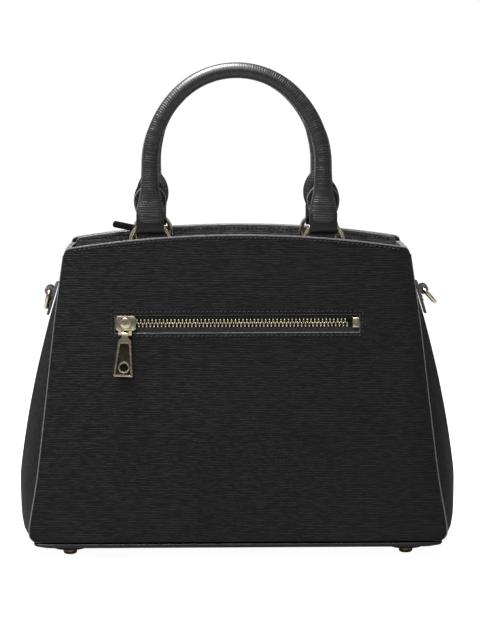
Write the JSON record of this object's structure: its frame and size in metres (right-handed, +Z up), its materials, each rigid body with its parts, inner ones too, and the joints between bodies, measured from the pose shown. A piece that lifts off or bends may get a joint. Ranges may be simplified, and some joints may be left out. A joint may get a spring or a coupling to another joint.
{
  "type": "satchel bag",
  "caption": "Top-handle satchel in cross-grain leather with leaning panels, bowed gussets, rolled handles on rings and a zip pocket in one face.",
  "frame": {"origin": "on the floor, under the centre of the bag's bounding box", "axes": "+Z up, -Y out of the face with the zip pocket, +X to the right when looking at that face"},
  "size_m": [0.3184, 0.14, 0.3523],
  "materials": {
    "grained_leather": "cross-grain embossed black leather, low sheen",
    "strap_leather": "plain black leather with painted edges",
    "lining_fabric": "woven black lining",
    "zip_tape": "woven black zip tape",
    "stiffener": "plain stiffener board",
    "handle_core": "foam cord",
    "pale_gold": "polished pale gold plating",
    "aged_brass": "polished brass, darker",
    "nickel": "nickel plated steel"
  },
  "bodies": {
    "bag": {"rear_panel": "grained_leather", "front_panel": "grained_leather", "left_gusset": "grained_leather", "right_gusset": "grained_leather", "base_panel": "grained_leather", "base_board": "stiffener", "rear_facing": "grained_leather", "front_facing": "grained_leather", "left_gusset_facing": "grained_leather", "right_gusset_facing": "grained_leather", "rear_lining": "lining_fabric", "front_lining": "lining_fabric", "left_lining": "lining_fabric", "right_lining": "lining_fabric", "base_lining": "lining_fabric", "snap_socket": "nickel", "snap_stud": "nickel", "zip_tape": "zip_tape", "zip_teeth": "pale_gold", "zip_stops": "pale_gold", "pocket_front": "lining_fabric", "pocket_back": "lining_fabric", "pocket_sides": "lining_fabric", "rear_ring_chapes": "strap_leather", "front_ring_chapes": "strap_leather", "left_strap_tab": "strap_leather", "right_strap_tab": "strap_leather", "foot_pads": "strap_leather", "foot_studs": "aged_brass", "foot_washers": "nickel"},
    "rear_ring_pair": {"rear_rings": "pale_gold"},
    "rear_handle": {"rear_handle_wrap": "grained_leather", "rear_handle_core": "handle_core", "rear_handle_straps": "strap_leather"},
    "front_ring_pair": {"front_rings": "pale_gold"},
    "front_handle": {"front_handle_wrap": "grained_leather", "front_handle_core": "handle_core", "front_handle_straps": "strap_leather"},
    "hang_strap": {"hang_strap": "strap_leather"},
    "left_d_ring": {"left_d_ring": "pale_gold"},
    "right_d_ring": {"right_d_ring": "pale_gold"},
    "zip_slider": {"zip_slider": "pale_gold"},
    "zip_yoke": {"zip_yoke": "pale_gold"},
    "zip_pull": {"zip_pull": "pale_gold"}
  },
  "joints": [
    {"name": "rear_rings_swing", "type": "hinge", "parent": "bag", "child": "rear_ring_pair", "pos_m": [0, -0.0403, 0.21227], "axis": [1, 0, 0], "range_deg": [-9, 8]},
    {"name": "rear_handle_swing", "type": "hinge", "parent": "rear_ring_pair", "child": "rear_handle", "pos_m": [0, -0.0403, 0.23595], "axis": [1, 0, 0], "range_deg": [-6, 85]},
    {"name": "front_rings_swing", "type": "hinge", "parent": "bag", "child": "front_ring_pair", "pos_m": [0, 0.0403, 0.21227], "axis": [-1, 0, 0], "range_deg": [-9, 8]},
    {"name": "front_handle_swing", "type": "hinge", "parent": "front_ring_pair", "child": "front_handle", "pos_m": [0, 0.0403, 0.23595], "axis": [-1, 0, 0], "range_deg": [-18, 73]},
    {"name": "hang_strap_swing", "type": "hinge", "parent": "front_ring_pair", "child": "hang_strap", "pos_m": [-0.07535, 0.0403, 0.22764], "axis": [0.2079, 0, 0.9781], "range_deg": [-25, 35]},
    {"name": "left_ring_swing", "type": "hinge", "parent": "bag", "child": "left_d_ring", "pos_m": [-0.1364, 0, 0.186], "axis": [0, 1, 0], "range_deg": [0, 137]},
    {"name": "right_ring_swing", "type": "hinge", "parent": "bag", "child": "right_d_ring", "pos_m": [0.1364, 0, 0.186], "axis": [0, -1, 0], "range_deg": [-28.5, 108.5]},
    {"name": "zip_slide", "type": "slide", "parent": "bag", "child": "zip_slider", "axis": [1, 0, 0], "range_m": [0, 0.1538]},
    {"name": "yoke_swivel", "type": "hinge", "parent": "zip_slider", "child": "zip_yoke", "pos_m": [-0.0795, -0.05674, 0.16866], "axis": [0, -0.9953, 0.0972], "range_deg": [-90, 90]},
    {"name": "pull_swing", "type": "hinge", "parent": "zip_yoke", "child": "zip_pull", "pos_m": [-0.07992, -0.05822, 0.16067], "axis": [-0.9986, 0.0051, 0.0521], "range_deg": [0, 145]}
  ]
}
